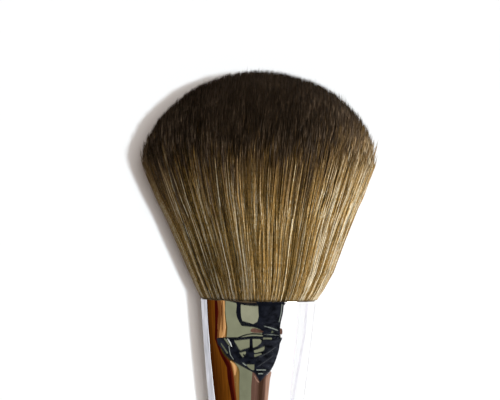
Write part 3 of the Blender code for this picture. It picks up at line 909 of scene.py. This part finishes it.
def strand_colours(rng, roots, clump, tuft):
    """Tone and dye line of every filament, each as a share of its range, with painted light and shade by
    place in the head.
    """
    across, forward = roots.T
    places, tones_and_painted_light, tone_spreads, dye_lines_and_painted_light, dye_spreads = zip(*TONES_AND_PAINTED_LIGHT_ACROSS_HEAD)
    tone = np.clip(scattered(rng, clump, tuft, TONE_SPREADS), -TONE_LIMIT, TONE_LIMIT)
    dye = scattered(rng, clump, tuft, DYE_SPREADS)
    # Painted light and shade across the head, added to each filament's tone and dye line
    tone = TONE_MIDDLE + tone * np.interp(across, places, tone_spreads) + np.interp(across, places, tones_and_painted_light)
    dye = dye * np.interp(across, places, dye_spreads) + np.interp(across, places, dye_lines_and_painted_light)
    dye += (rng.random(STRAND_COUNT) < LATE_DYE_SHARE) * rng.uniform(*LATE_DYES, STRAND_COUNT)
    inner = np.clip((OUTERMOST - np.linalg.norm(roots, axis=1)) / OUTERMOST_BLEND, 0, 1)
    centred = smooth(np.clip((FRONT_REACH - np.abs(across - FRONT_MIDDLE)) / FRONT_BLEND, 0, 1))
    # Painted light on the flanks and painted shade on the top of the head
    tone += inner * graded(np.abs(forward), DEEP_PAINTED_LIGHT)
    tone += inner * centred * graded(forward, FRONT_PAINTED_SHADE)
    return tone, dye


def standing_proud(rng, roots, tuft, tufts):
    """How far some tufts and some single filaments stand out of the dome, and 0 for the others."""
    shares = graded(tufts[:, 0], PROUD_TUFT_SHARES)
    of_tufts = rng.uniform(*PROUD_TUFTS, TUFT_COUNT) * (rng.random(TUFT_COUNT) < shares)
    of_strands = rng.uniform(*PROUD_STRANDS, STRAND_COUNT)
    of_strands *= rng.random(STRAND_COUNT) < PROUD_STRAND_SHARE
    return of_tufts[tuft] * graded(roots[:, 0], PROUD_TUFT_GAINS) + of_strands


def make_strands():
    """What tells the filaments apart: roots, tips, heights, twists, waves, girths, tones and dye lines."""
    rng = np.random.default_rng(STRAND_SEED)
    roots = held_in(sunflower(STRAND_COUNT, rng, ROOT_JITTER), 1)
    clump = nearest_of(sunflower(CLUMP_COUNT, rng, GROUP_JITTER), roots)
    tufts = sunflower(TUFT_COUNT, rng, GROUP_JITTER)
    tuft = nearest_of(tufts, roots)
    tips = strand_tips(rng, roots, clump, tuft, tufts)
    tops = strand_heights(rng, tips, tuft)
    tips[:, 0] += strays(rng, roots, *RIGHT_STRAYS)
    tone, dye = strand_colours(rng, roots, clump, tuft)
    twist = rng.uniform(0, 2 * pi, STRAND_COUNT)
    wave = rng.normal(0, STRAND_WAVE, (STRAND_COUNT, 2)) + rng.normal(0, TUFT_WAVE, (TUFT_COUNT, 2))[tuft]
    girth = rng.uniform(*STRAND_GIRTHS, STRAND_COUNT)
    tops += standing_proud(rng, roots, tuft, tufts)
    tips[:, 0] += strays(rng, roots, *LEFT_STRAYS)
    return SimpleNamespace(
        roots=roots, tips=tips, tops=tops, tone=tone, dye=dye, twist=twist, wave=wave, girth=girth
    )


def strand_middles(strands, height):
    """Places on the filaments' middle lines at these heights."""
    share = np.clip(height / strands.tops, 0, 1)
    flat = strands.roots + (strands.tips - strands.roots) * (share ** BEND_POWER)[:, None]
    flat = flat * fan_radius(height)[:, None] + strands.wave * np.sin(share * pi * HALF_WAVES)[:, None]
    squeeze = LEFT_SQUEEZE * smooth(np.clip(height / LEFT_SQUEEZE_REACH, 0, 1))
    squeeze += LEFT_HOLLOW * np.sin(pi * np.clip(height / LEFT_HOLLOW_REACH, 0, 1))
    flat[:, 0] *= np.where(flat[:, 0] < 0, 1 - squeeze, 1)
    flat[:, 0] += HEAD_LEAN * smooth(np.clip(height / HEAD_LEAN_REACH, 0, 1))
    flat[:, 0] += HEAD_LEAN_RETURN * np.clip((height - SKIRT_HEIGHT) / (CROWN_HEIGHT - SKIRT_HEIGHT), 0, 1)
    return np.column_stack([flat, height])


def strand_points(strands):
    """Corners of every filament, ring by ring, then its tip."""
    turns = strands.twist[:, None] + np.arange(STRAND_SIDES) * 2 * pi / STRAND_SIDES
    compass = np.stack([np.sin(turns), np.cos(turns), 0 * turns], axis=2)
    rings = []
    for level, width in STRAND_RINGS:
        middle = strand_middles(strands, level * strands.tops)
        radius = STRAND_RADIUS * width * strands.girth
        rings.append(middle[:, None] + radius[:, None, None] * compass)
    return np.concatenate([*rings, strand_middles(strands, strands.tops)[:, None]], axis=1)


def strand_faces():
    """Corner numbers of one filament's side faces, and of the faces of its point."""
    point = len(STRAND_RINGS) * STRAND_SIDES
    last = point - STRAND_SIDES
    pairs = [(side, (side + 1) % STRAND_SIDES) for side in range(STRAND_SIDES)]
    walls = [
        (low + a, low + STRAND_SIDES + a, low + STRAND_SIDES + b, low + b)
        for low in range(0, last, STRAND_SIDES)
        for a, b in pairs
    ]
    return walls, [(last + a, point, last + b) for a, b in pairs]


def repeated(faces, count, step):
    """These faces for every filament, whose corners are this many numbers apart."""
    return (np.array(faces)[None] + (np.arange(count) * step)[:, None, None]).reshape(-1, len(faces[0]))


def map_strands(mesh, column, heights):
    """Gives each filament its column of the map, with its sides a little apart, and its heights in it."""
    sides = np.arange(STRAND_SIDES) - (STRAND_SIDES - 1) / 2
    sides = np.append(np.tile(sides, len(STRAND_RINGS)), 0)
    across = (column[:, None] + 0.5 + sides * MAP_SIDE_STEP) / MAP_COLUMNS
    upward = np.clip(heights / CROWN_HEIGHT, *MAP_ENDS)
    corner = np.empty(len(mesh.loops), int)
    mesh.loops.foreach_get("vertex_index", corner)
    uv = np.column_stack([across.ravel()[corner], upward.ravel()[corner]]).astype(np.float32)
    for layer in ("strand", "OFBake"):
        mesh.uv_layers.new(name=layer).data.foreach_set("uv", uv.ravel())


def level_of(share, count):
    """Number of the level that is nearest to this share of their range."""
    return np.clip(np.round(share * (count - 1)), 0, count - 1)


def dress_strands(material):
    """The filaments, in pieces of neighbouring sectors round the axis."""
    strands = make_strands()
    points = strand_points(strands)
    walls, ends = strand_faces()
    column = level_of(strands.tone, TONE_LEVELS) * DYE_LEVELS + level_of(strands.dye, DYE_LEVELS)
    turn = np.arctan2(strands.roots[:, 0], strands.roots[:, 1]) % (2 * pi)
    sector = np.minimum((turn / (2 * pi) * STRAND_PIECES).astype(int), STRAND_PIECES - 1)
    for piece in range(STRAND_PIECES):
        chosen = np.flatnonzero(sector == piece)
        places = points[chosen]
        count, step = places.shape[:2]
        world = in_world(places.reshape(-1, 3))
        world[:, 2] = np.maximum(world[:, 2], TABLE_CLEARANCE)
        name = f"bristle_strands_{piece + 1}"
        mesh = mesh_from(name, world, [*repeated(walls, count, step), *repeated(ends, count, step)])
        map_strands(mesh, column[chosen], places[:, :, 2])
        dressed(name, mesh, material, "filaments", "bristle_head")


# Studio

def camera_frame():
    """The camera's own right, up and backward directions, and its place."""
    back = UPWARD * cos(CAMERA_LEAN) + ALONG * sin(CAMERA_LEAN)
    up_image = ALONG * cos(CAMERA_LEAN) - UPWARD * sin(CAMERA_LEAN)
    right = ACROSS * cos(AXIS_ROLL) + up_image * sin(AXIS_ROLL)
    up = up_image * cos(AXIS_ROLL) - ACROSS * sin(AXIS_ROLL)
    mouth_right = (MOUTH_PX[0] - IMAGE_WIDTH_PX / 2) / PX_PER_M
    mouth_up = (IMAGE_HEIGHT_PX / 2 - MOUTH_PX[1]) / PX_PER_M
    target = MOUTH - right * mouth_right - up * mouth_up
    return right, up, back, target + back * CAMERA_DISTANCE


RIGHT, UP, BACK, EYE = camera_frame()


def make_camera():
    data = bpy.data.cameras.new("camera")
    data.lens = data.sensor_width * CAMERA_DISTANCE * PX_PER_M / IMAGE_WIDTH_PX
    made = placed("camera", data)
    made.matrix_world = Matrix.Translation(EYE) @ Matrix((RIGHT, UP, BACK)).transposed().to_4x4()
    bpy.context.scene.camera = made


def area_light(name, direction, distance, width, strength, in_reflections, colour):
    """A square soft box that faces the head from this direction."""
    data = bpy.data.lights.new(name, "AREA")
    data.shape = "SQUARE"
    data.size = width
    data.energy = strength * distance ** 2
    data.color = colour
    made = placed(name, data)
    away = Vector(direction).normalized()
    made.location = MOUTH + ALONG * LIT_HEIGHT + away * distance
    made.rotation_mode = "QUATERNION"
    made.rotation_quaternion = away.to_track_quat("Z", "Y")
    made.visible_glossy = in_reflections
    return made


def make_world():
    """Warm light from all round, and a white backdrop that only the camera, mirrors and glass see."""
    nodes = Nodes("studio", bpy.data.worlds)
    bpy.context.scene.world = nodes.owner
    rays = nodes.new("LightPath").outputs
    seen = nodes.math("MAXIMUM", rays["Is Camera Ray"], rays["Is Glossy Ray"])
    seen = nodes.math("MAXIMUM", seen, rays["Is Transmission Ray"])
    light = nodes.new("Background", Color=(*AMBIENT_COLOUR, 1), Strength=AMBIENT)
    backdrop = nodes.new("Background", Color=(1, 1, 1, 1), Strength=BACKDROP_GLOW)
    nodes.only(nodes.new("MixShader", seen, light.outputs[0], backdrop.outputs[0]))


def make_floor():
    low, high = -FLOOR_REACH, FLOOR_REACH
    corners = [(low, low, 0), (high, low, 0), (high, high, 0), (low, high, 0)]
    mesh = mesh_from("floor", corners, [(0, 1, 2, 3)], smooth_faces=False)
    made = placed("floor", mesh)
    nodes = Nodes("paper")
    nodes.only(nodes.new("BsdfDiffuse", Color=(*FLOOR_COLOUR, 1)))
    mesh.materials.append(nodes.owner)
    return made


def leave_unlit(light, *things):
    """Keeps this light, and so the shadow that it would throw, off these things."""
    apart = bpy.data.collections.new("not_lit_by_" + light.name)
    for thing in things:
        apart.objects.link(thing)
    for link in apart.collection_objects:
        link.light_linking.link_state = "EXCLUDE"
    light.light_linking.receiver_collection = apart


def reflected(drop, side):
    """A place on the ferrule, or on its rim where the drop is negative, and the ray reflected there."""
    angle = asin(side)
    outward = ACROSS * sin(angle) + UPWARD * cos(angle)
    tilt = pi / 2 * min(max(-drop, 0) / RIM_ROUNDING, 1)
    drop = max(drop, 0)
    slope = (ferrule_radius(-drop - SLOPE_STEP) - ferrule_radius(-drop)) / SLOPE_STEP
    point = MOUTH - ALONG * drop + outward * ferrule_radius(-drop)
    normal = (outward + ALONG * slope).normalized() * cos(tilt) + ALONG * sin(tilt)
    ray = (point - EYE).normalized()
    return point, ray - normal * 2 * ray.dot(normal)


def card_place(drop, side, layer):
    """Where a card has to be for its image to show at this place on the ferrule."""
    point, ray = reflected(drop, side)
    reach = CARD_REACH * (1 - CARD_LAYER_SHARE * layer)
    if ray.z < 0:
        reach = min(reach, (point.z - CARD_FLOOR * (1 + layer)) / -ray.z)
    return point + ray * reach


def card_material(name, grain):
    """Glows in the colours of the card's columns, varied over its image as this grain says."""
    nodes = Nodes(name)
    colour = nodes.new("VertexColor", settings={"layer_name": "tint"}).outputs["Color"]
    image = nodes.new("UVMap", settings={"uv_map": "image"}).outputs["UV"]
    stretch, turn, low, high = CARD_GRAINS[grain]
    path = nodes.new("Mapping", Vector=image, Rotation=(0, 0, turn), Scale=(*stretch, 1))
    speck = nodes.noise(path.outputs[0], scale=1.0, detail=3.0, roughness=0.55)
    brightness = nodes.span(speck, 0.32, 0.68, low, high)
    nodes.only(nodes.new("Emission", Color=colour, Strength=nodes.math("MULTIPLY", brightness, CARD_GLOW)))
    return nodes.owner


def card_rows(rows):
    """The rows of a card with others between them."""
    lines = []
    for start, end in zip(rows, rows[1:]):
        for i in range(CARD_ROWS_BETWEEN):
            lines.append([between(a, b, i / CARD_ROWS_BETWEEN) for a, b in zip(start, end)])
    return lines + [rows[-1]]


def colour_between(colours, share):
    """The colour at a share of the way through a card's colours."""
    place = share * (len(colours) - 1)
    return [np.interp(place, range(len(colours)), channel) for channel in zip(*colours)]


def make_card(name, layer, colours, rows, grain="plain"):
    lines = card_rows(rows)
    shares = [k / CARD_COLUMNS for k in range(CARD_COLUMNS + 1)]
    image = [(between(left, right, share) / 100, drop) for drop, left, right in lines for share in shares]
    points = [card_place(drop / MM_PER_M + CARD_DROP * min(drop, 1), side, layer) for side, drop in image]
    wide = CARD_COLUMNS + 1
    faces = [
        (a, a + 1, a + wide + 1, a + wide)
        for i in range(len(lines) - 1)
        for a in range(i * wide, i * wide + CARD_COLUMNS)
    ]
    mesh = mesh_from("card_" + name, points, faces, smooth_faces=False)
    tint = mesh.color_attributes.new("tint", "FLOAT_COLOR", "POINT")
    for i, spot in enumerate(tint.data):
        spot.color = [*colour_between(colours, shares[i % wide]), 1]
    uv = mesh.uv_layers.new(name="image")
    for loop, corner in zip(mesh.loops, uv.data):
        corner.uv = image[loop.vertex_index]
    mesh.materials.append(card_material("card_" + name, grain))
    made = placed("card_" + name, mesh)
    for rays in ("camera", "diffuse", "transmission", "shadow"):
        setattr(made, "visible_" + rays, False)


def carry_over(node, material):
    """Gives a CAD node that stays its procedural finish."""
    mesh = frame["nodes"][node].data
    mesh.materials.clear()
    mesh.materials.append(material)


bpy.context.scene.view_settings.view_transform = "Standard"
make_camera()
make_world()
floor = make_floor()
for card in CARDS:
    make_card(*card)
lights = {row[0]: area_light(*row) for row in LIGHTS}

tube_mesh = turned_mesh("ferrule_tube", ferrule_outline(), closed=True)
tube = dressed("ferrule_tube", tube_mesh, chrome_material(), "chrome", "ferrule")
grip_mesh = turned_mesh("handle_turned", handle_outline())
grip = dressed("handle_turned", grip_mesh, lacquer_material(), "lacquer", "handle")
leave_unlit(lights["side"], floor)
leave_unlit(lights["sheen"], floor, tube, grip)
carry_over("knot_binding", thread_material())
carry_over("knot_resin", cured_material("resin", *RESIN, roughness=0.15))
carry_over("tenon_glue", cured_material("glue", *GLUE, roughness=0.25))

root_mesh = turned_mesh("bristle_root", root_outline())
bonded = cured_material("bonded_filaments", *BONDED, roughness=0.3)
dressed("bristle_root", root_mesh, bonded, "filaments", "bristle_head")
dress_strands(filament_material())
